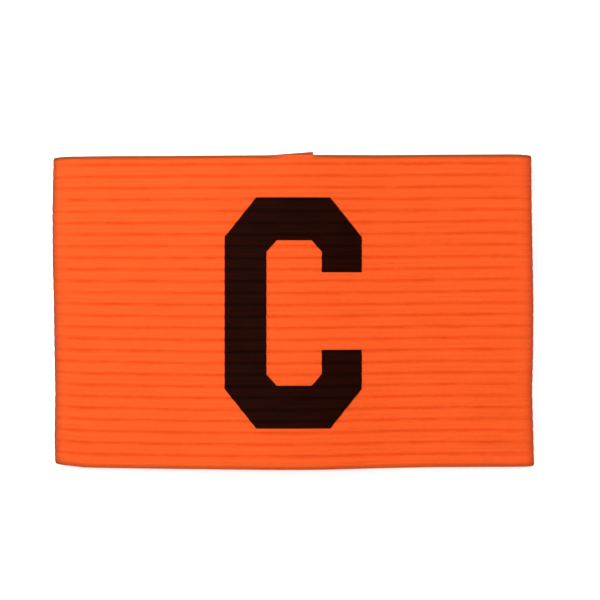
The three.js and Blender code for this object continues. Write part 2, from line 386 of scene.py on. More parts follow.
def loop_route():
    """The wall's middle from the outer end round the loop to the inner end, as arrays along its length."""
    webbing = settings("webbing")
    low = webbing.wall / 2
    radius = FOLD_RADIUS - webbing.wall / 2
    front = low + 2 * radius
    stacked = low + TAPE_HIGH.z - TAPE_LOW.z + webbing.wall + 2 * (TAPE_LOW.z - webbing.wall)
    fold_x = HALF_WIDTH - FOLD_RADIUS
    stretches = (
        (level(OUTER_END, -fold_x, low), OUTER_EDGES),
        (fold(-1, radius, low), FRONT_EDGES),
        (level(-fold_x, ARCH_LEFT, front), FRONT_EDGES),
        (bend(ARCH_LEFT, front, ARCH_TOP, front + ARCH_RISE), FRONT_EDGES),
        (bend(ARCH_TOP, front + ARCH_RISE, ARCH_RIGHT, front), FRONT_EDGES),
        (level(ARCH_RIGHT, fold_x, front), FRONT_EDGES),
        (fold(1, radius, low), FRONT_EDGES),
        (level(fold_x, RAMP_FOOT, low), INNER_EDGES),
        (bend(RAMP_FOOT, low, RAMP_HEAD, stacked), INNER_EDGES),
        (level(RAMP_HEAD, INNER_END, stacked), INNER_EDGES),
    )
    x, z = (np.concatenate([points[i][1:] for points, _ in stretches]) for i in (0, 1))
    upper, lower = (
        np.concatenate([np.interp(points[0][1:], edges["x"], edges[name]) for points, edges in stretches])
        for name in ("upper", "lower")
    )
    along = np.concatenate([[0], np.cumsum(np.hypot(np.diff(x), np.diff(z)))])
    slope_x, slope_z = np.gradient(x, along), np.gradient(z, along)
    size = np.hypot(slope_x, slope_z)
    return {
        "along": along,
        "x": x,
        "z": z,
        "out_x": -slope_z / size,
        "out_z": slope_x / size,
        "upper": eased(upper, along, EDGE_EASING),
        "lower": eased(lower, along, EDGE_EASING),
    }


def stations_at(route, lengths):
    """The route's values at some lengths along it."""
    return {name: np.interp(lengths, route["along"], values) for name, values in route.items()}


def across_to_y(station, height):
    """The Y of a place across the webbing, whose nominal width is stretched between its two selvedges."""
    share = 0.5 + height / settings("webbing").width
    return station["lower"] + share * (station["upper"] - station["lower"])


def rib_wander(station, height):
    """How far the ribs stray across the webbing: their drift, and long, shallow waves."""
    waves = 0
    for share, along, across, start in RIB_WAVES:
        waves = waves + share * np.sin(station["along"] / along + height / across + start)
    up, apart = (np.interp(station["x"], RIB_DRIFT["x"], RIB_DRIFT[name]) for name in ("up", "apart"))
    turn = height / (settings("webbing").width / 2) * math.pi
    return WAVE_HEIGHT * waves + up * np.cos(turn / 2) + apart * np.sin(turn)


def placed(station, height, out):
    """Where points of the webbing lie: height is across the ribs, out is from the wall's middle outwards."""
    half = settings("webbing").width / 2
    inside = 1 - (np.abs(height) / half) ** 8
    y = across_to_y(station, height + inside * rib_wander(station, height))
    near_fold = smooth_step(np.abs(station["x"]), WANDER_START, HALF_WIDTH - FOLD_RADIUS - WANDER_START)
    left, right = (np.interp(y, FOLD_LINES["y"], FOLD_LINES[side]) for side in ("left", "right"))
    wander = np.where(station["x"] < 0, -left, right)
    x = station["x"] + out * station["out_x"] + near_fold * wander
    z = station["z"] + out * station["out_z"]
    shift = origin_shift()
    return np.stack([x + shift.x, y + shift.y, z + shift.z], axis=-1)


def rib_lines():
    """Heights of the lines between the ribs, from the lowest up, with a selvedge first and last."""
    webbing = settings("webbing")
    half = webbing.width / 2
    grooves = half - webbing.top_rib - webbing.rib_pitch * np.arange(webbing.grooves - 1, -1, -1)
    return np.concatenate([[-half], grooves, [half]])


def rib_heights(shares):
    """Heights of the section's points between the selvedges, with the shares of each rib's own width."""
    lines = rib_lines()
    spans = zip(lines[:-1], lines[1:])
    return np.concatenate([[low + share * (high - low) for share in shares] for low, high in spans])


def groove_share(height):
    """How deep in a groove a height is: 1 on its line and 0 on a rib."""
    nearest = np.min(np.abs(height[..., None] - rib_lines()[1:-1]), axis=-1)
    return np.exp(-((nearest / settings("webbing").groove_reach) ** 2))


def place_on_rib(height):
    """Where on its rib a height is, as a share of the rib from its lower groove, and the rib's own width."""
    lines = rib_lines()
    rib = np.clip(np.searchsorted(lines, height) - 1, 0, len(lines) - 2)
    span = lines[rib + 1] - lines[rib]
    return (height - lines[rib]) / span, span


def split_share(height):
    """How deep in the fine line along its rib's middle a height is: 1 on the line and 0 beside it."""
    place, span = place_on_rib(height)
    return np.exp(-(((place - 0.5) * span / settings("webbing").split_reach) ** 2))


def rib_depth(height):
    """Depth of the outer surface below the rib crests at some heights."""
    webbing = settings("webbing")
    place, _ = place_on_rib(height)
    crown = webbing.crest_rise * (2 * place - 1) ** 2
    lines = webbing.split_depth * split_share(height) + webbing.groove_depth * groove_share(height)
    return crown + lines


def rib_shade(height):
    """How much painted shade the yarns get at a height: 1 in the grooves, less in the fine lines and 0 on
    the crests.
    """
    return np.clip(groove_share(height) + 0.3 * split_share(height), 0, 1)


def fold_lines(route):
    """Lengths along the route of the two folds' outermost lines."""
    return np.array([route["along"][np.argmin(route["x"])], route["along"][np.argmax(route["x"])]])


def fold_share(x):
    """How far round a fold a place is: 0 on the level stretches and 1 at the folds' outermost lines."""
    return smooth_step(np.abs(x), HALF_WIDTH - 1.6 * FOLD_RADIUS, FOLD_RADIUS)


def webbing_section():
    """The webbing's closed section from its lower selvedge up: height, out, and painted shade in a groove.
    """
    webbing = settings("webbing")
    half, out = webbing.width / 2, webbing.wall / 2
    rim = SELVEDGE_RIM
    turn = np.radians([-90, -60, -30, 0, 30, 60])
    rim_height, rim_out = half - rim + rim * np.cos(turn), SELVEDGE_WALL * out * np.sin(turn)
    outer, inner = rib_heights(OUTER_SHARES), rib_heights(INNER_SHARES)[::-1]
    outer, inner = outer[np.abs(outer) < half - rim], inner[np.abs(inner) < half - rim]
    outer_out, inner_out = out - rib_depth(outer), INNER_DEPTH * rib_depth(inner) - out
    height = np.concatenate([-rim_height[3:], outer, rim_height[::-1], inner, -rim_height[:4]])
    offset = np.concatenate([rim_out[3:], outer_out, rim_out[::-1], inner_out, rim_out[:4]])
    groove = np.concatenate([np.zeros(3), rib_shade(outer), np.zeros(6), rib_shade(inner), np.zeros(4)])
    return height, offset, groove


def seam_rectangle():
    """The seam that sews either tape on: its left, right, lower and upper line, from the loop's middle."""
    inset = settings("closure").seam_inset
    shift = origin_shift()
    return (
        TAPE_LOW.x - shift.x + inset,
        TAPE_HIGH.x - shift.x - inset,
        TAPE_LOW.y - shift.y + inset,
        TAPE_HIGH.y - shift.y - inset,
    )


def seam_pull(x, y):
    """How far the seams pull the webbing in at a place, seen from above."""
    closure = settings("closure")
    left, right, low, high = seam_rectangle()
    to_side = np.minimum(np.abs(x - left), np.abs(x - right))
    to_level = np.minimum(np.abs(y - low), np.abs(y - high))
    beyond_y = np.maximum(np.maximum(low - y, y - high), 0)
    beyond_x = np.maximum(np.maximum(left - x, x - right), 0)
    nearest = np.minimum(np.hypot(to_side, beyond_y), np.hypot(to_level, beyond_x))
    return closure.seam_depth * np.exp(-((nearest / closure.seam_reach) ** 2))


def webbing_stations(route):
    """Lengths along the route where the webbing has a section, closest at the folds, seams and ends."""
    whole = route["along"][-1]
    x = route["x"]
    left, right, _, _ = seam_rectangle()
    lying = np.abs(route["out_z"]) > 0.999
    back = route["out_z"] < 0
    to_seam = np.minimum(np.abs(x - left), np.abs(x - right))
    near_end = np.minimum(route["along"], whole - route["along"])
    step = np.where(lying, LYING_STEP, SLOPING_STEP)
    step = np.where(np.abs(x) > HALF_WIDTH - FOLD_RADIUS, FOLD_STEP, step)
    step = np.where((near_end < SEWN_REACH) & back & (to_seam < 2 * MM), SEAM_STEP, step)
    step = np.where(near_end < END_REACH, END_STEP, step)
    count = np.concatenate([[0], np.cumsum(np.diff(route["along"]) / step[1:])])
    return np.interp(np.linspace(0, count[-1], 1 + int(count[-1])), count, route["along"])


def deselect():
    """Clears the selection, so that an operator acts only on what comes next."""
    bpy.ops.object.select_all(action="DESELECT")
    bpy.context.view_layer.objects.active = None


def select_only(piece):
    """Makes one piece the selected and the active one."""
    deselect()
    piece.select_set(True)
    bpy.context.view_layer.objects.active = piece


def new_piece(name):
    """The piece that has just been added, under its name."""
    piece = bpy.context.active_object
    piece.name = piece.data.name = name
    return piece


def flat_grid(name, columns, rows):
    """A flat grid of so many columns and rows of vertices, from the grid primitive, with a UV map."""
    deselect()
    bpy.ops.mesh.primitive_grid_add(x_subdivisions=columns - 1, y_subdivisions=rows - 1, size=1)
    piece = new_piece(name)
    if len(piece.data.vertices) != columns * rows:
        raise RuntimeError(f"the grid of {name} has {len(piece.data.vertices)} vertices")
    return piece


def move_grid(piece, points, u, v):
    """Moves a grid's vertices, row by row, to an array of points, and lays its UV map in metres."""
    mesh = piece.data
    mesh.vertices.foreach_set("co", points.reshape(-1).astype(np.float32))
    corners = np.zeros(len(mesh.loops), dtype=np.int32)
    mesh.loops.foreach_get("vertex_index", corners)
    flat = np.stack([u.reshape(-1)[corners], v.reshape(-1)[corners]], axis=-1)
    mesh.uv_layers.active.data.foreach_set("uv", flat.reshape(-1).astype(np.float32))
    mesh.update()


def paint(piece, name, values):
    """Lays a number on each of a piece's vertices, for its material to read."""
    made = piece.data.attributes.new(name, "FLOAT", "POINT")
    made.data.foreach_set("value", values.reshape(-1).astype(np.float32))


def apply_modifier(piece, kind, **values):
    """Adds a modifier to a piece and applies it."""
    select_only(piece)
    made = piece.modifiers.new(kind.title(), kind)
    for name, value in values.items():
        setattr(made, name, value)
    bpy.ops.object.modifier_apply(modifier=made.name)


def in_edit_mode(piece, *steps):
    """Runs edit-mode operators on all of a piece, each an operator with its settings."""
    select_only(piece)
    bpy.ops.object.mode_set(mode="EDIT")
    bpy.ops.mesh.select_all(action="SELECT")
    for operator, values in steps:
        operator(**values)
    bpy.ops.object.mode_set(mode="OBJECT")


def edit_some(piece, kind, wanted, operator, **values):
    """Runs an edit-mode operator on the edges (EDGE) or faces (FACE) that the test wanted picks."""
    select_only(piece)
    bpy.ops.object.mode_set(mode="EDIT")
    bpy.ops.mesh.select_mode(type=kind)
    bpy.ops.mesh.select_all(action="DESELECT")
    bpy.ops.object.mode_set(mode="OBJECT")
    for part in piece.data.edges if kind == "EDGE" else piece.data.polygons:
        part.select = wanted(part)
    bpy.ops.object.mode_set(mode="EDIT")
    operator(**values)
    bpy.ops.mesh.select_mode(type="VERT")
    bpy.ops.object.mode_set(mode="OBJECT")


def finish_piece(piece, material, slot, *nodes):
    """Gives a finished piece its material, smooth faces and its place on the armband."""
    piece.data.materials.clear()
    piece.data.materials.append(material)
    select_only(piece)
    bpy.ops.object.shade_smooth_by_angle(angle=SHARP)
    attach(piece, BODY)
    if nodes:
        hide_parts(*nodes)


def node(tree, kind, inputs=None, **values):
    """Adds a shader node with its settings, and with values, other nodes or their outputs at its inputs."""
    made = tree.nodes.new("ShaderNode" + kind)
    for name, value in values.items():
        setattr(made, name, value)
    for key, value in (inputs or {}).items():
        if isinstance(value, bpy.types.Node):
            value = next(output for output in value.outputs if output.enabled)
        if isinstance(value, bpy.types.NodeSocket):
            tree.links.new(value, made.inputs[key])
        else:
            made.inputs[key].default_value = value
    return made


def new_material(name):
    """A material with an empty tree."""
    material = bpy.data.materials.new(name)
    material.use_nodes = True
    material.node_tree.nodes.clear()
    return material, material.node_tree


def end_material(tree, base, tone, specular, rough, bump=None):
    """Ends a material: its base colour times its tone, with a specular level, a roughness and a bump."""
    toned = node(tree, "Mix", {"Factor": 1, 6: base, 7: tone}, data_type="RGBA", blend_type="MULTIPLY")
    inputs = {"Base Color": toned, "Roughness": rough, "Specular IOR Level": specular}
    if bump is not None:
        inputs["Normal"] = bump
    shader = node(tree, "BsdfPrincipled", inputs)
    node(tree, "OutputMaterial", {"Surface": shader})


def wave(tree, value, pitch):
    """A sine wave of one pitch along a value."""
    turn = node(tree, "Math", {0: value, 1: 2 * math.pi / pitch}, operation="MULTIPLY")
    return node(tree, "Math", {0: turn}, operation="SINE")


def streaks(tree, place, along, across, detail=3):
    """Noise drawn out along the first axis, with a typical length and width in metres."""
    drawn = node(tree, "Mapping", {"Vector": place, "Scale": (1 / along, 1 / across, 1)})
    return node(tree, "TexNoise", {"Vector": drawn, "Scale": 1, "Detail": detail})


def woven_floats(tree, place):
    """The rib face's weave: how high each float stands, from 0 to 1, and each one's own tone.

    Every yarn comes up over the weft in a row of short floats, each row half a float off its neighbour."""
    webbing = settings("webbing")
    first_groove = webbing.width / 2 - webbing.top_rib
    split = node(tree, "SeparateXYZ", {0: place})
    slub = streaks(tree, place, 2.5 * MM, 0.8 * MM)
    off = node(tree, "Math", {0: split.outputs["Y"], 1: first_groove}, operation="SUBTRACT")
    yarns = node(tree, "Math", {0: off, 1: webbing.yarn_size}, operation="DIVIDE")
    yarns = node(tree, "Math", {0: slub, 1: 0.6, 2: yarns}, operation="MULTIPLY_ADD")
    yarn = node(tree, "Math", {0: yarns}, operation="FLOOR")
    picks = node(tree, "Math", {0: split.outputs["X"], 1: webbing.pick_pitch}, operation="DIVIDE")
    picks = node(tree, "Math", {0: slub, 1: 1.6, 2: picks}, operation="MULTIPLY_ADD")
    picks = node(tree, "Math", {0: yarn, 1: 0.5, 2: picks}, operation="MULTIPLY_ADD")
    pick = node(tree, "Math", {0: picks}, operation="FLOOR")
    rounded = []
    for count in (yarns, picks):
        turn = node(tree, "Math", {0: count, 1: math.pi}, operation="MULTIPLY")
        sine = node(tree, "Math", {0: turn}, operation="SINE")
        rounded.append(node(tree, "Math", {0: sine}, operation="ABSOLUTE"))
    crown = node(tree, "Math", {0: rounded[0], 1: rounded[1]}, operation="MULTIPLY")
    height = node(tree, "Math", {0: crown, 1: 0.7}, operation="POWER")
    cell = node(tree, "CombineXYZ", {0: yarn, 1: pick})
    tone = node(tree, "TexWhiteNoise", {"Vector": cell}, noise_dimensions="2D")
    return height, tone


def edge_shade_and_singe(tree, split, start, end, middle, half):
    """How near an edge a place is, half a length off a middle: 0 inside the start, and 1 past the end."""
    off = node(tree, "Math", {0: split, 1: middle}, operation="SUBTRACT")
    reach = node(tree, "Math", {0: off}, operation="ABSOLUTE")
    span = {0: reach, 1: half - start, 2: half - end}
    return node(tree, "MapRange", span, interpolation_type="SMOOTHSTEP")


def woven_elastic():
    """Woven polyester elastic: matt rows of short floats, with painted shade in the grooves, selvedges and
    folds.
    """
    webbing = settings("webbing")
    material, tree = new_material("woven polyester elastic")
    place = node(tree, "UVMap", uv_map="UVMap")
    split = node(tree, "SeparateXYZ", {0: place})
    height, tone = woven_floats(tree, place)
    fibres = streaks(tree, place, 0.9 * MM, 0.09 * MM)

    # The dye takes unevenly over some millimetres, along single yarns and on each float, and painted shade
    # darkens the gaps between the floats
    cloud = streaks(tree, place, 24 * MM, 9 * MM, 2)
    lines = streaks(tree, place, 18 * MM, 0.75 * MM, 2)
    shade = 0.54
    for part, weight in ((cloud, 0.1), (lines, 0.26), (tone, 0.1), (fibres, 0.14), (height, 0.24)):
        shade = node(tree, "Math", {0: part, 1: weight, 2: shade}, operation="MULTIPLY_ADD")

    # The painted shade in the grooves comes and goes along them
    # The groove attribute is how much painted shade a place gets in the grooves
    depth = node(tree, "Attribute", attribute_name="groove").outputs["Fac"]
    patches = streaks(tree, place, 9 * MM, 2.2 * MM)
    uneven = node(tree, "Math", {0: patches, 1: 1.9, 2: -0.05}, operation="MULTIPLY_ADD")
    dark = node(tree, "Math", {0: depth, 1: uneven}, operation="MULTIPLY", use_clamp=True)
    body = node(tree, "Mix", {"Factor": dark, 6: webbing.yarn, 7: webbing.groove}, data_type="RGBA")

    # The selvedge has a painted dark outline standing in for its shade, and the singed ends are darker: the
    # UV map says how far off they are
    middle = loop_route()["along"][-1] / 2
    selvedge = edge_shade_and_singe(tree, split.outputs["Y"], 1.5 * MM, 0.6 * MM, 0.1 * MM, webbing.width / 2)
    singed = edge_shade_and_singe(tree, split.outputs["X"], 0.9 * MM, 0.2 * MM, middle, middle)
    painted_edge_shade = node(tree, "Attribute", attribute_name="painted_edge_shade").outputs["Fac"]
    painted_outline = node(tree, "Math", {0: selvedge, 1: painted_edge_shade}, operation="MULTIPLY")
    rim = node(tree, "Math", {0: painted_outline, 1: singed}, operation="MAXIMUM")
    rimmed = node(tree, "Mix", {"Factor": rim, 6: body, 7: webbing.selvedge}, data_type="RGBA")

    # Painted shade darkens a fold's outermost line too, where the fold turns away from the light
    fold_shade = node(tree, "Attribute", attribute_name="fold_shade").outputs["Fac"]
    fold_shading = node(tree, "Math", {0: fold_shade, 1: webbing.fold_shade_strength}, operation="MULTIPLY")
    fold_shaded = node(tree, "Mix", {"Factor": fold_shading, 6: rimmed, 7: webbing.fold_shade}, data_type="RGBA")

    # The weft turns back at the selvedge in small loops, which stand out more than the floats on the ribs
    looped = node(tree, "Math", {0: selvedge, 1: 1, 2: 1}, operation="MULTIPLY_ADD")
    stands = node(tree, "Math", {0: height, 1: looped}, operation="MULTIPLY")
    relief = node(tree, "Math", {0: fibres, 1: 0.35, 2: stands}, operation="MULTIPLY_ADD")
    bump = node(tree, "Bump", {"Height": relief, "Distance": 0.1 * MM, "Strength": 0.8})
    rough = node(tree, "Math", {0: height, 1: -0.12, 2: 0.93}, operation="MULTIPLY_ADD")
    end_material(tree, fold_shaded, shade, 0.08, rough, bump)
    return material


def pressed_film():
    """Heat-pressed polyurethane film: matt warm black, with the webbing's weave showing through and painted
    shade over the grooves.
    """
    material, tree = new_material("heat-pressed polyurethane film")
    place = node(tree, "UVMap", uv_map="UVMap")
    height, _ = woven_floats(tree, place)
    lines = streaks(tree, place, 12 * MM, 1.2 * MM, 2)
    cloud = streaks(tree, place, 9 * MM, 9 * MM, 2)

    # Painted shade: the film is a little lighter over the crests than over the grooves, and lighter on the
    # floats' crowns
    depth = node(tree, "Attribute", attribute_name="groove").outputs["Fac"]
    tone = 0.24
    for part, weight in ((depth, -0.5), (cloud, 0.6), (lines, 1.1), (height, 0.1)):
        tone = node(tree, "Math", {0: part, 1: weight, 2: tone}, operation="MULTIPLY_ADD")
    bump = node(tree, "Bump", {"Height": height, "Distance": 0.05 * MM, "Strength": 0.7})
    rough = node(tree, "Math", {0: height, 1: -0.1, 2: 0.65}, operation="MULTIPLY_ADD")
    end_material(tree, settings("letter").ink, tone, 0.012, rough, bump)
    return material


def woven_nylon():
    """Plain-woven nylon tape, dyed black: a fine square weave with the dull gleam of filament yarn."""
    material, tree = new_material("woven nylon tape")
    place = node(tree, "TexCoord").outputs["Object"]
    split = node(tree, "SeparateXYZ", {0: place})
    thread = 0.5 * MM
    warp, weft = wave(tree, split.outputs["X"], thread), wave(tree, split.outputs["Y"], thread)
    weave = node(tree, "Math", {0: warp, 1: weft}, operation="MULTIPLY")
    tone = node(tree, "Math", {0: weave, 1: 0.25, 2: 0.9}, operation="MULTIPLY_ADD")
    bump = node(tree, "Bump", {"Height": weave, "Distance": 0.05 * MM, "Strength": 0.7})
    rough = node(tree, "Math", {0: weave, 1: -0.08, 2: 0.6}, operation="MULTIPLY_ADD")
    end_material(tree, settings("closure").nylon, tone, 0.4, rough, bump)
    return material


def nylon_filament():
    """Drawn nylon filament, dyed black: stiff hooks and crushed loops that glint a little."""
    material, tree = new_material("drawn nylon filament")
    place = node(tree, "TexCoord").outputs["Object"]
    tangle = streaks(tree, place, 0.4 * MM, 0.4 * MM, 4)
    tone = node(tree, "Math", {0: tangle, 1: 1.4, 2: 0.4}, operation="MULTIPLY_ADD")
    bump = node(tree, "Bump", {"Height": tangle, "Distance": 0.1 * MM, "Strength": 0.6})
    rough = node(tree, "Math", {0: tangle, 1: 0.2, 2: 0.35}, operation="MULTIPLY_ADD")
    end_material(tree, settings("closure").nylon, tone, 0.5, rough, bump)
    return material


def sewing_thread():
    """Twisted polyester thread, dyed like the webbing: its plies show as slanting lines."""
    material, tree = new_material("twisted polyester thread")
    place = node(tree, "TexCoord").outputs["Object"]
    slanted = node(tree, "VectorMath", {0: place, 1: (1, 1, 1)}, operation="DOT_PRODUCT")
    ply = wave(tree, slanted, 0.5 * MM)
    tone = node(tree, "Math", {0: ply, 1: 0.12, 2: 0.94}, operation="MULTIPLY_ADD")
    bump = node(tree, "Bump", {"Height": ply, "Distance": 0.03 * MM, "Strength": 0.6})
    rough = node(tree, "Math", {0: ply, 1: -0.08, 2: 0.7}, operation="MULTIPLY_ADD")
    end_material(tree, settings("closure").thread_colour, tone, 0.25, rough, bump)
    return material


def plain_floor():
    """Matt paper sweep: a plain pale ground with no gloss and the faintest grain."""
    material, tree = new_material("matt paper sweep")
    place = node(tree, "TexCoord").outputs["Object"]
    grain = streaks(tree, place, 25 * MM, 25 * MM, 2)
    tone = node(tree, "Math", {0: grain, 1: 0.01, 2: 0.995}, operation="MULTIPLY_ADD")
    end_material(tree, settings("stage").floor, tone, 0, 1)
    return material


def make_webbing():
    """The webbing: a flat grid bent round its route, closed along its section and capped at its ends."""
    webbing = settings("webbing")
    route = loop_route()
    lengths = webbing_stations(route)
    height, offset, groove = webbing_section()
    station = {name: values[None, :] for name, values in stations_at(route, lengths).items()}
    shape = len(height), len(lengths)
    piece = flat_grid("ribbed_webbing", len(lengths), len(height))
    whole = route["along"][-1]
    high, out = height[:, None], offset[:, None] * np.ones((1, len(lengths)))

    # The ribs flatten where they are stretched round a fold
    stretched = fold_share(station["x"])
    on_face = (np.abs(high) < webbing.width / 2 - SELVEDGE_RIM) & (out > 0)
    out = out + np.where(on_face, FLATTENED * stretched * (webbing.wall / 2 - out), 0)

    # The seams pull in the outer face at the outer end, and the inner face at the inner end
    pull = seam_pull(station["x"], across_to_y(station, high))
    at_outer_end = (station["along"] < SEWN_REACH) & (out > 0)
    at_inner_end = (whole - station["along"] < SEWN_REACH) & (out < 0)
    out = out - np.where(at_outer_end, pull, 0) + np.where(at_inner_end, pull, 0)

    # Singeing rounds the cut ends
    to_end = np.minimum(station["along"], whole - station["along"])
    out = out * np.sqrt(1 - SINGED_ROUND * np.clip(1 - to_end / SINGED_REACH, 0, 1) ** 2)
    points = placed(station, high, out)
    move_grid(piece, points, np.broadcast_to(station["along"], shape), np.broadcast_to(high, shape))
    # Painted shade in the grooves, halved where a fold stretches the ribs out
    paint(piece, "groove", groove[:, None] * (1 - 0.5 * stretched))

    # Painted shade on the folds' outermost lines, the left one further round
    off_fold = np.abs(station["along"] - fold_lines(route)[:, None])
    fold_shading = FOLD_SHADE_DEPTH[:, None] * np.exp(-((off_fold / FOLD_SHADE_REACH[:, None]) ** 2))
    paint(piece, "fold_shade", np.broadcast_to(fold_shading.max(axis=0), shape))

    # The painted dark outline is fainter on the lower selvedge than on the upper one, which leaves it out in
    # one place too
    rise = np.clip((station["x"] - PALE_LEFT) / PALE_RISE, 0, 1)
    fall = np.clip((PALE_RIGHT - station["x"]) / PALE_FALL, 0, 1)
    pale = np.where(station["out_z"] > 0.5, np.minimum(rise, fall), 0)
    paint(piece, "painted_edge_shade", np.where(high < 0, LOWER_EDGE_SHADE, 1 - pale))
    joined = (bpy.ops.mesh.remove_doubles, {"threshold": 0.001 * MM})
    in_edit_mode(piece, joined, *CLOSE_ENDS, *OUTWARDS)
    finish_piece(piece, woven_elastic(), "ribbed_elastic", "elastic_band")


def letter_outline():
    """The block letter's corners, in order, as seen from above, from the loop's middle."""
    letter = settings("letter")
    left, right = letter.across - letter.width / 2, letter.across + letter.width / 2
    foot, top = letter.up - letter.height / 2, letter.up + letter.height / 2
    in_left, in_right = left + letter.stem, right - letter.arm
    out_x, out_y = letter.outer_chamfer_x, letter.outer_chamfer_y
    in_x, in_y = letter.inner_chamfer_x, letter.inner_chamfer_y

    # The lower half, and then the upper one, which mirrors it with an arm of its own
    corners = []
    for end, way, arm in ((foot, 1, letter.lower_arm), (top, -1, letter.upper_arm)):
        inner = end + way * letter.bar
        half = [
            (left, end + way * out_y),
            (left + out_x, end),
            (right - out_x, end),
            (right, end + way * out_y),
            (right, end + way * arm),
            (in_right, end + way * arm),
            (in_right, inner + way * in_y),
            (in_right - in_x, inner),
            (in_left + in_x, inner),
            (in_left, inner + way * in_y),
        ]
        corners += half[::way]
    return corners


def inside_outline(x, y, corners):
    """Whether a place is inside the outline: a line rightwards from it crosses an odd number of sides."""
    inside = False
    for (x0, y0), (x1, y1) in zip(corners, corners[1:] + corners[:1]):
        if (y0 > y) != (y1 > y) and x < x0 + (y - y0) * (x1 - x0) / (y1 - y0):
            inside = not inside
    return inside


def make_letter():
    """The letter: a flat grid cut along the outline, laid over the front's ribs and given its thickness."""
    webbing, letter = settings("webbing"), settings("letter")
    corners = letter_outline()
    route = loop_route()
    front = (route["out_z"] > 0.5) & (np.abs(route["x"]) < HALF_WIDTH - FOLD_RADIUS)
    over = {name: values[front] for name, values in route.items()}
    left, right = letter.across - letter.width / 2, letter.across + letter.width / 2
    x = np.linspace(left - LETTER_MARGIN, right + LETTER_MARGIN, LETTER_COLUMNS)
    heights = rib_heights(OUTER_SHARES)
    heights = heights[np.abs(heights - letter.up) < letter.height / 2 + 2 * LETTER_MARGIN]
    station = {name: np.interp(x, over["x"], values)[None, :] for name, values in over.items()}
    y = across_to_y(station, heights[:, None] + rib_wander(station, heights[:, None]))
    piece = flat_grid("pressed_letter", len(x), len(heights))
    flat = np.stack([np.broadcast_to(x[None, :], y.shape), y, np.zeros_like(y)], axis=-1)
    along = np.broadcast_to(station["along"], y.shape)
    move_grid(piece, flat, along, np.broadcast_to(heights[:, None], y.shape))

    # Cut the grid along every side of the outline, then drop the faces outside
    cuts = []
    for (x0, y0), (x1, y1) in zip(corners, corners[1:] + corners[:1]):
        side = {"plane_co": (x0, y0, 0), "plane_no": (y1 - y0, x0 - x1, 0), "threshold": 1e-7}
        cuts.append((bpy.ops.mesh.select_all, {"action": "SELECT"}))
        cuts.append((bpy.ops.mesh.bisect, side))
    in_edit_mode(piece, *cuts)

    def outside(face):
        return not inside_outline(face.center.x, face.center.y, corners)

    edit_some(piece, "FACE", outside, bpy.ops.mesh.delete, type="FACE")

    # Lay it over the ribs: it bridges the grooves, and its edges follow them a little
    place = np.zeros(3 * len(piece.data.vertices))
    piece.data.vertices.foreach_get("co", place)
    place = place.reshape(-1, 3)
    station = {name: np.interp(place[:, 0], over["x"], values) for name, values in over.items()}
    height = (place[:, 1] - station["lower"]) / (station["upper"] - station["lower"]) - 0.5
    height = height * webbing.width
    height = height - rib_wander(station, height)
    out = webbing.wall / 2 + letter.lift - FILM_SINKS * rib_depth(height)
    shift = origin_shift()
    place[:, 2] = station["z"] + out / station["out_z"] + shift.z
    place[:, 0] += shift.x - FILM_DRAWN * groove_share(height)
    place[:, 1] += shift.y
    piece.data.vertices.foreach_set("co", place.reshape(-1))
    # Painted shade over the grooves, for the film's material
    paint(piece, "groove", rib_shade(height))
    piece.data.update()
    apply_modifier(piece, "SOLIDIFY", thickness=letter.film, offset=1)
    finish_piece(piece, pressed_film(), "pressed_film", "letter_c")


def tape_blank(name, low, high):
    """A tape's woven ground: a block with rounded corners, between two heights."""
    deselect()
    middle = (TAPE_LOW + TAPE_HIGH) / 2
    bpy.ops.mesh.primitive_cube_add(size=1, location=(middle.x, middle.y, (low + high) / 2))
    piece = new_piece(name)
    piece.scale = (TAPE_HIGH.x - TAPE_LOW.x, TAPE_HIGH.y - TAPE_LOW.y, high - low)
    bpy.ops.object.transform_apply()

    def upright(edge):
        a, b = (piece.data.vertices[i].co for i in edge.vertices)
        return abs(a.z - b.z) > (high - low) / 2

    edit_some(piece, "EDGE", upright, bpy.ops.mesh.bevel, offset=settings("closure").corner, segments=6)
    apply_modifier(piece, "BEVEL", width=0.12 * MM, segments=2, limit_method="ANGLE")
    return piece


def array_copies(piece, count, step):
    """Repeats a piece so many times at a step, with an Array modifier that is applied."""
    offset = {"use_relative_offset": False, "use_constant_offset": True, "constant_offset_displace": step}
    apply_modifier(piece, "ARRAY", count=count, **offset)


def bent_wire(name, radius, straight, bend_radius, turn, steps):
    """A closed wire from the origin down by a straight length, then bent round towards X through a turn."""
    deselect()
    bpy.ops.mesh.primitive_circle_add(vertices=6, radius=radius, fill_type="NOTHING")
    piece = new_piece(name)
    shaping = []
    if straight:
        down = {"TRANSFORM_OT_translate": {"value": (0, 0, -straight)}}
        shaping.append((bpy.ops.mesh.extrude_region_move, down))
    around = {"center": (bend_radius, 0, -straight), "axis": (0, 1, 0)}
    shaping.append((bpy.ops.mesh.spin, {"steps": steps, "angle": turn, **around}))
    in_edit_mode(piece, *shaping, *CLOSE_ENDS, *OUTWARDS)
    return piece


def make_hooks(material):
    """The hooks: one bent wire under the upper ground, repeated in rows over it."""
    closure = settings("closure")
    rise = TAPE_HIGH.z - closure.ground - TAPE_LOW.z - closure.ground - closure.pile
    straight = rise - closure.hook_crook + 0.5 * closure.pile
    piece = bent_wire("hooks", closure.hook_wire / 2, straight, closure.hook_crook, HOOK_TURN, 5)
    across = TAPE_HIGH.x - TAPE_LOW.x - 2 * HOOK_INSET
    along = TAPE_HIGH.y - TAPE_LOW.y - 2 * HOOK_INSET
    piece.location = (TAPE_LOW.x + HOOK_INSET, TAPE_LOW.y + HOOK_INSET, TAPE_HIGH.z - closure.ground)
    select_only(piece)
    bpy.ops.object.transform_apply()
    columns = int(across / closure.hook_pitch)
    rows = int(along / closure.hook_pitch)
    array_copies(piece, columns, (across / columns, 0, 0))
    array_copies(piece, rows + 1, (0, along / rows, 0))
    finish_piece(piece, material, "hook_and_loop", "closure_tape")


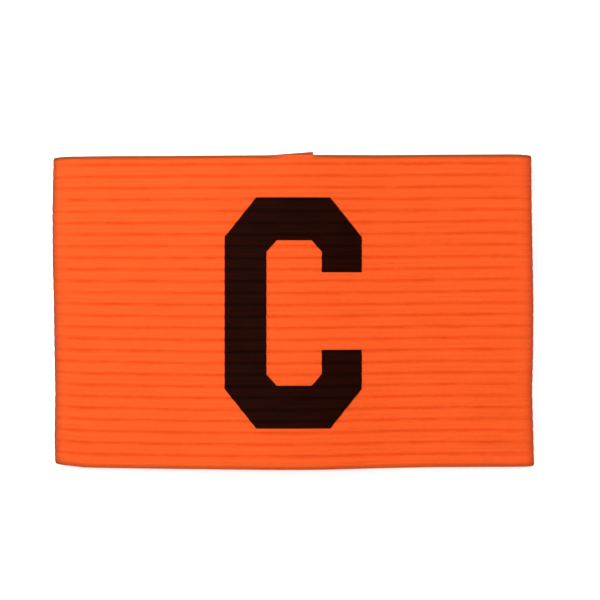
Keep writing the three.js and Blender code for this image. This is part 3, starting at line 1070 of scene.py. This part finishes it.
def make_pile(material):
    """The pile: the loops' outer form, a low crinkled pad on the lower ground."""
    closure = settings("closure")
    low = TAPE_LOW.z + closure.ground
    columns, rows = PILE_GRID
    x = np.linspace(TAPE_LOW.x + PILE_INSET, TAPE_HIGH.x - PILE_INSET, columns)
    y = np.linspace(TAPE_LOW.y + PILE_INSET, TAPE_HIGH.y - PILE_INSET, rows)
    piece = flat_grid("loop_pile", columns, rows)
    random = np.random.default_rng(7)
    rise = closure.pile * random.uniform(*PILE_HEIGHTS, (rows, columns))
    jitter = PILE_JITTER * random.uniform(-1, 1, (2, rows, columns))
    points = np.stack([x[None, :] + jitter[0], y[:, None] + jitter[1], low + rise], axis=-1)
    move_grid(piece, points, points[..., 0], points[..., 1])
    in_edit_mode(
        piece,
        (bpy.ops.mesh.extrude_region_move, {}),
        (bpy.ops.transform.resize, {"value": (1, 1, 0), "center_override": (0, 0, low - 0.02 * MM)}),
        *OUTWARDS,
    )
    finish_piece(piece, material, "hook_and_loop", "closure_tape")


def make_tapes():
    """The closure: two woven grounds, one sewn to each end, with one's hooks in the other's loops."""
    closure = settings("closure")
    nylon = woven_nylon()
    lower = tape_blank("loop_tape", TAPE_LOW.z, TAPE_LOW.z + closure.ground)
    upper = tape_blank("hook_tape", TAPE_HIGH.z - closure.ground, TAPE_HIGH.z)
    for ground in (lower, upper):
        finish_piece(ground, nylon, "hook_and_loop", "closure_tape")
    filament = nylon_filament()
    make_pile(filament)
    make_hooks(filament)


def make_stitches(name, surface, out):
    """A seam round a tape on one face of the webbing, out being 1 on an upper face and -1 on a lower one."""
    closure = settings("closure")
    bow = closure.stitch * STITCH_BOW
    turn = 2 * math.asin(STITCH_SPAN * closure.stitch / 2 / bow)
    arc = bent_wire(name, closure.thread / 2, 0, bow, turn, 6)
    select_only(arc)

    # The wire starts straight down, and is turned so that its bow is level, with its crest at the surface
    arc.rotation_euler = (0, turn / 2 - math.pi / 2, 0)
    bpy.ops.object.transform_apply()
    corners = np.array([corner for corner in arc.bound_box])
    middle = (corners.min(axis=0) + corners.max(axis=0)) / 2
    crest = corners.min(axis=0)[2]
    in_edit_mode(
        arc,
        (bpy.ops.transform.translate, {"value": (-middle[0], -middle[1], -crest)}),
        (bpy.ops.transform.resize, {"value": (1, 1, -out), "center_override": (0, 0, 0)}),
        (bpy.ops.mesh.normals_make_consistent, {"inside": False}),
    )
    left, right, low, high = seam_rectangle()
    shift = origin_shift()

    # Four sides, and the start sewn over once more to lock the thread
    runs = [
        (left, low, 0, right - left),
        (right, low, math.pi / 2, high - low),
        (right, high, math.pi, right - left),
        (left, high, -math.pi / 2, high - low),
        (left + 0.4 * MM, low + 0.45 * MM, 0, 3 * closure.stitch),
    ]
    pieces = []
    for x, y, heading, run in runs:
        count = max(1, round(run / closure.stitch))
        pitch = run / count
        copy = arc.copy()
        copy.data = arc.data.copy()
        bpy.context.scene.collection.objects.link(copy)
        copy.rotation_euler = (0, 0, heading)
        ahead = Vector((math.cos(heading), math.sin(heading), 0)) * pitch
        copy.location = Vector((x + shift.x, y + shift.y, surface)) + ahead / 2
        select_only(copy)
        bpy.ops.object.transform_apply()
        array_copies(copy, count, ahead)
        pieces.append(copy)
    bpy.data.objects.remove(arc)
    deselect()
    for copy in pieces:
        copy.select_set(True)
    bpy.context.view_layer.objects.active = pieces[0]
    bpy.ops.object.join()
    return new_piece(name)


def make_seams():
    """Both seams: under the outer end, and on the inner end's upper face, inside the loop."""
    stacked = TAPE_HIGH.z + TAPE_LOW.z
    thread = sewing_thread()
    under = make_stitches("seam_under", 0.02 * MM, -1)
    inside = make_stitches("seam_inside", stacked + 0.03 * MM, 1)
    for seam in (under, inside):
        finish_piece(seam, thread, "ribbed_elastic")
    return [under, inside]


def declare_cloth():
    """Works out the webbing's flat size, its own width and the length of its route, and does nothing with
    it.
    """
    flat = (settings("webbing").width, loop_route()["along"][-1])


class ARMBAND_OT_webbing(bpy.types.Operator):
    """Make the ribbed elastic webbing, bent round the pressed loop"""

    bl_idname = "armband.webbing"
    bl_label = "Ribbed webbing"

    def execute(self, context):
        make_webbing()
        return {"FINISHED"}


class ARMBAND_OT_letter(bpy.types.Operator):
    """Make the pressed block letter"""

    bl_idname = "armband.letter"
    bl_label = "Pressed letter"

    def execute(self, context):
        make_letter()
        return {"FINISHED"}


class ARMBAND_OT_tapes(bpy.types.Operator):
    """Make the hook-and-loop tapes of the closure"""

    bl_idname = "armband.tapes"
    bl_label = "Closure tapes"

    def execute(self, context):
        make_tapes()
        return {"FINISHED"}


class ARMBAND_OT_seams(bpy.types.Operator):
    """Make the lockstitched seams that hold the tapes"""

    bl_idname = "armband.seams"
    bl_label = "Seams"

    def execute(self, context):
        seams = make_seams()
        declare_cloth()
        return {"FINISHED"}


class ARMBAND_OT_stage(bpy.types.Operator):
    """Make the floor, the lights and the camera"""

    bl_idname = "armband.stage"
    bl_label = "Stage"

    def execute(self, context):
        make_stage()
        return {"FINISHED"}


def soft_light(name, kind, place, **values):
    """A light that looks at the armband's middle from a place, and that the camera doesn't see."""
    data = bpy.data.lights.new(name, kind)
    for key, value in values.items():
        setattr(data, key, value)
    light = bpy.data.objects.new(name, data)
    bpy.context.scene.collection.objects.link(light)
    light.location = place
    light.rotation_euler = (-Vector(place)).to_track_quat("-Z", "Y").to_euler()
    light.visible_camera = False


def make_stage():
    """A pale floor that sweeps up all round, lights above, close by and all round, and the camera."""
    stage = settings("stage")
    deselect()
    ground = (0, 0, CAD_LOW.z - 0.05 * MM)
    bpy.ops.mesh.primitive_circle_add(vertices=64, radius=FLOOR_RADIUS, fill_type="NGON", location=ground)
    floor = new_piece("floor")
    floor.data.materials.append(plain_floor())
    bpy.ops.object.transform_apply()

    # The paper sweeps up all round, so that a low view has it behind the armband too
    sweep = []
    for growth, rise in FLOOR_SWEEP:
        sweep += (
            (bpy.ops.mesh.select_all, {"action": "DESELECT"}),
            (bpy.ops.mesh.select_non_manifold, {}),
            (bpy.ops.mesh.extrude_edges_move, {"TRANSFORM_OT_translate": {"value": (0, 0, rise)}}),
            (bpy.ops.transform.resize, {"value": (growth, growth, 1), "center_override": (0, 0, 0)}),
        )
    in_edit_mode(floor, *sweep)
    bpy.ops.object.shade_smooth_by_angle(angle=SHARP)

    soft_light("key", "SUN", KEY_FROM, energy=stage.key, angle=KEY_ANGLE)
    soft_light("near", "AREA", NEAR_FROM, energy=stage.near, size=NEAR_SIZE, color=NEAR_TINT)

    scene = bpy.context.scene
    world = bpy.data.worlds.new("even light")
    scene.world = world
    world.use_nodes = True
    background = world.node_tree.nodes["Background"]
    background.inputs["Color"].default_value = (1, 1, 1, 1)
    background.inputs["Strength"].default_value = stage.fill

    shift = origin_shift()
    data = bpy.data.cameras.new("camera")
    data.sensor_width = SENSOR
    data.lens = LENS
    camera = bpy.data.objects.new("camera", data)
    scene.collection.objects.link(camera)
    camera.location = (shift.x + stage.camera_x, shift.y + stage.camera_y, stage.camera_height)
    scene.camera = camera
    scene.view_settings.view_transform = "Standard"
    scene.view_settings.look = "None"


class ARMBAND_PT_panel(bpy.types.Panel):
    """Lists the armband's pieces and their settings"""

    bl_idname = "ARMBAND_PT_panel"
    bl_label = "Captain's armband"
    bl_space_type = "VIEW_3D"
    bl_region_type = "UI"
    bl_category = "Armband"

    def draw(self, context):
        for made in OPERATORS:
            self.layout.operator(made.bl_idname)
        for name in GROUPS:
            box = self.layout.box()
            box.label(text=name.title())
            for key in settings(name).bl_rna.properties.keys():
                if key not in ("rna_type", "name"):
                    box.prop(settings(name), key)


GROUPS = {
    "webbing": WebbingSettings,
    "letter": LetterSettings,
    "closure": ClosureSettings,
    "stage": StageSettings,
}
OPERATORS = (
    ARMBAND_OT_webbing,
    ARMBAND_OT_letter,
    ARMBAND_OT_tapes,
    ARMBAND_OT_seams,
    ARMBAND_OT_stage,
)


def register():
    for group in GROUPS.values():
        bpy.utils.register_class(group)
    for made in (*OPERATORS, ARMBAND_PT_panel):
        bpy.utils.register_class(made)
    for name, group in GROUPS.items():
        setattr(bpy.types.Scene, "armband_" + name, bpy.props.PointerProperty(type=group))


def unregister():
    for name in GROUPS:
        delattr(bpy.types.Scene, "armband_" + name)
    for made in (ARMBAND_PT_panel, *reversed(OPERATORS)):
        bpy.utils.unregister_class(made)
    for group in GROUPS.values():
        bpy.utils.unregister_class(group)


def main():
    """Makes the armband and its stage."""
    register()
    for made in OPERATORS:
        group, name = made.bl_idname.split(".")
        getattr(getattr(bpy.ops, group), name)()


if __name__ == "__main__":
    main()
